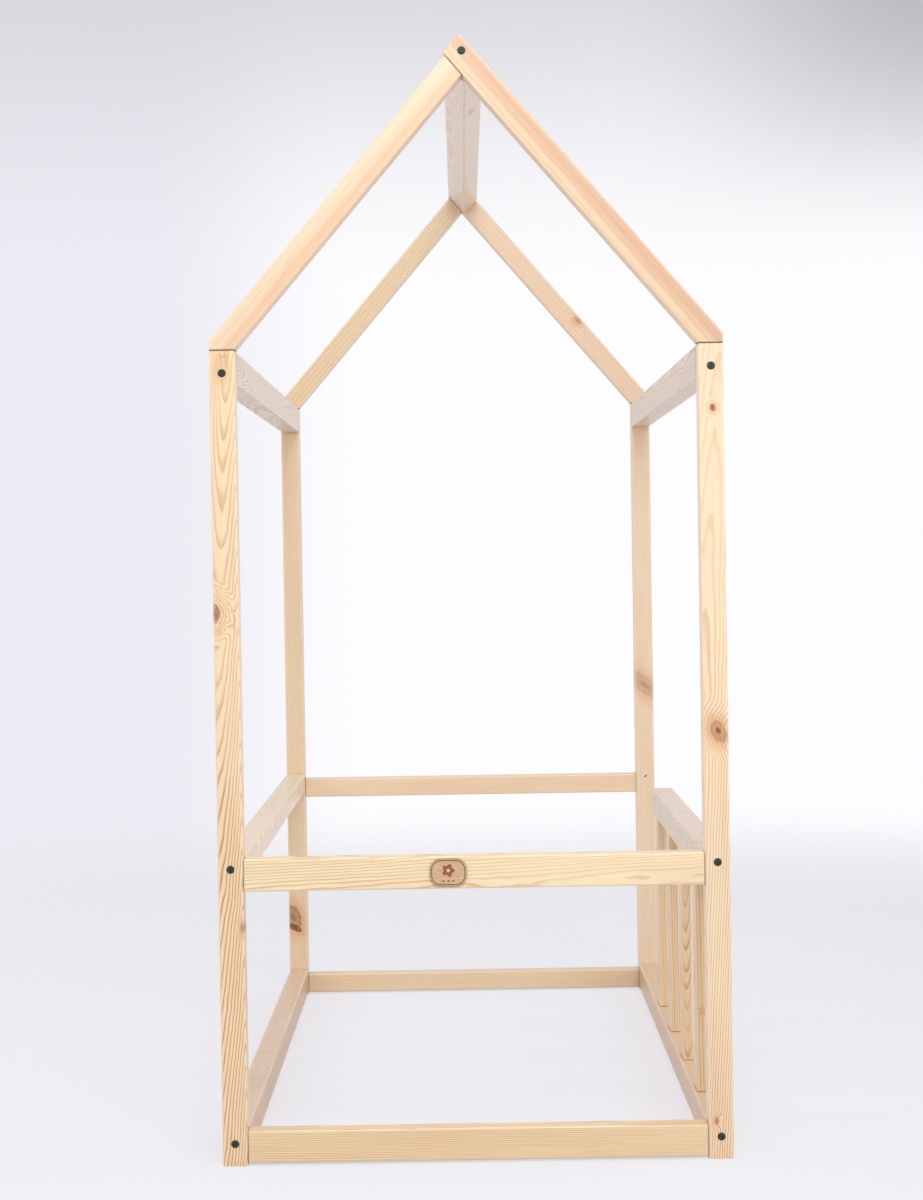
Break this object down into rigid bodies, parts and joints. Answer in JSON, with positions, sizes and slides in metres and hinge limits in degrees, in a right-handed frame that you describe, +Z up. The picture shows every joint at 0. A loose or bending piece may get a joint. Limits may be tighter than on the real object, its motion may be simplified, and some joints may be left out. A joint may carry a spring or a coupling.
{
  "type": "house frame bed",
  "caption": "Child's floor bed frame shaped like a little house: pine posts and rafters, ridge beam, low rails and a slatted guard beside an open entrance.",
  "frame": {"origin": "on the floor, under the middle of the bed", "axes": "+X across the bed to the right as seen from the front gable, where the guard is; +Y along the bed from the front gable to the rear gable; +Z up from the floor"},
  "size_m": [0.91, 1.6956, 2.0012],
  "materials": {
    "post_pine": "clear satin lacquer on knotty pine",
    "rafter_pine": "clear satin lacquer on pine",
    "rail_pine": "clear satin lacquer on pine",
    "beam_pine": "clear satin lacquer on finger-jointed pine",
    "slat_pine": "clear satin lacquer on pine",
    "plywood": "plain sanded birch plywood with a small painted motif",
    "beech": "planed beech, unfinished",
    "black_steel": "black oxide",
    "dark_steel": "phosphated"
  },
  "bodies": {
    "root": {"post_front_left": "post_pine", "post_front_right": "post_pine", "post_rear_left": "post_pine", "post_rear_right": "post_pine", "rafter_front_left": "rafter_pine", "rafter_front_right": "rafter_pine", "mid_rail_front": "rail_pine", "bottom_rail_front": "rail_pine", "rafter_rear_left": "rafter_pine", "rafter_rear_right": "rafter_pine", "mid_rail_rear": "rail_pine", "bottom_rail_rear": "rail_pine", "ridge_beam": "beam_pine", "eave_beam_left": "beam_pine", "bottom_rail_left": "beam_pine", "eave_beam_right": "beam_pine", "bottom_rail_right": "beam_pine", "mid_rail_left": "beam_pine", "guard_top_rail": "beam_pine", "guard_slat_1": "slat_pine", "guard_slat_2": "slat_pine", "guard_slat_3": "slat_pine", "guard_slat_4": "slat_pine", "front_plaque": "plywood", "frame_bolts": "black_steel", "rafter_screws": "dark_steel", "apex_key_front": "beech", "apex_key_rear": "beech"}
  },
  "joints": []
}
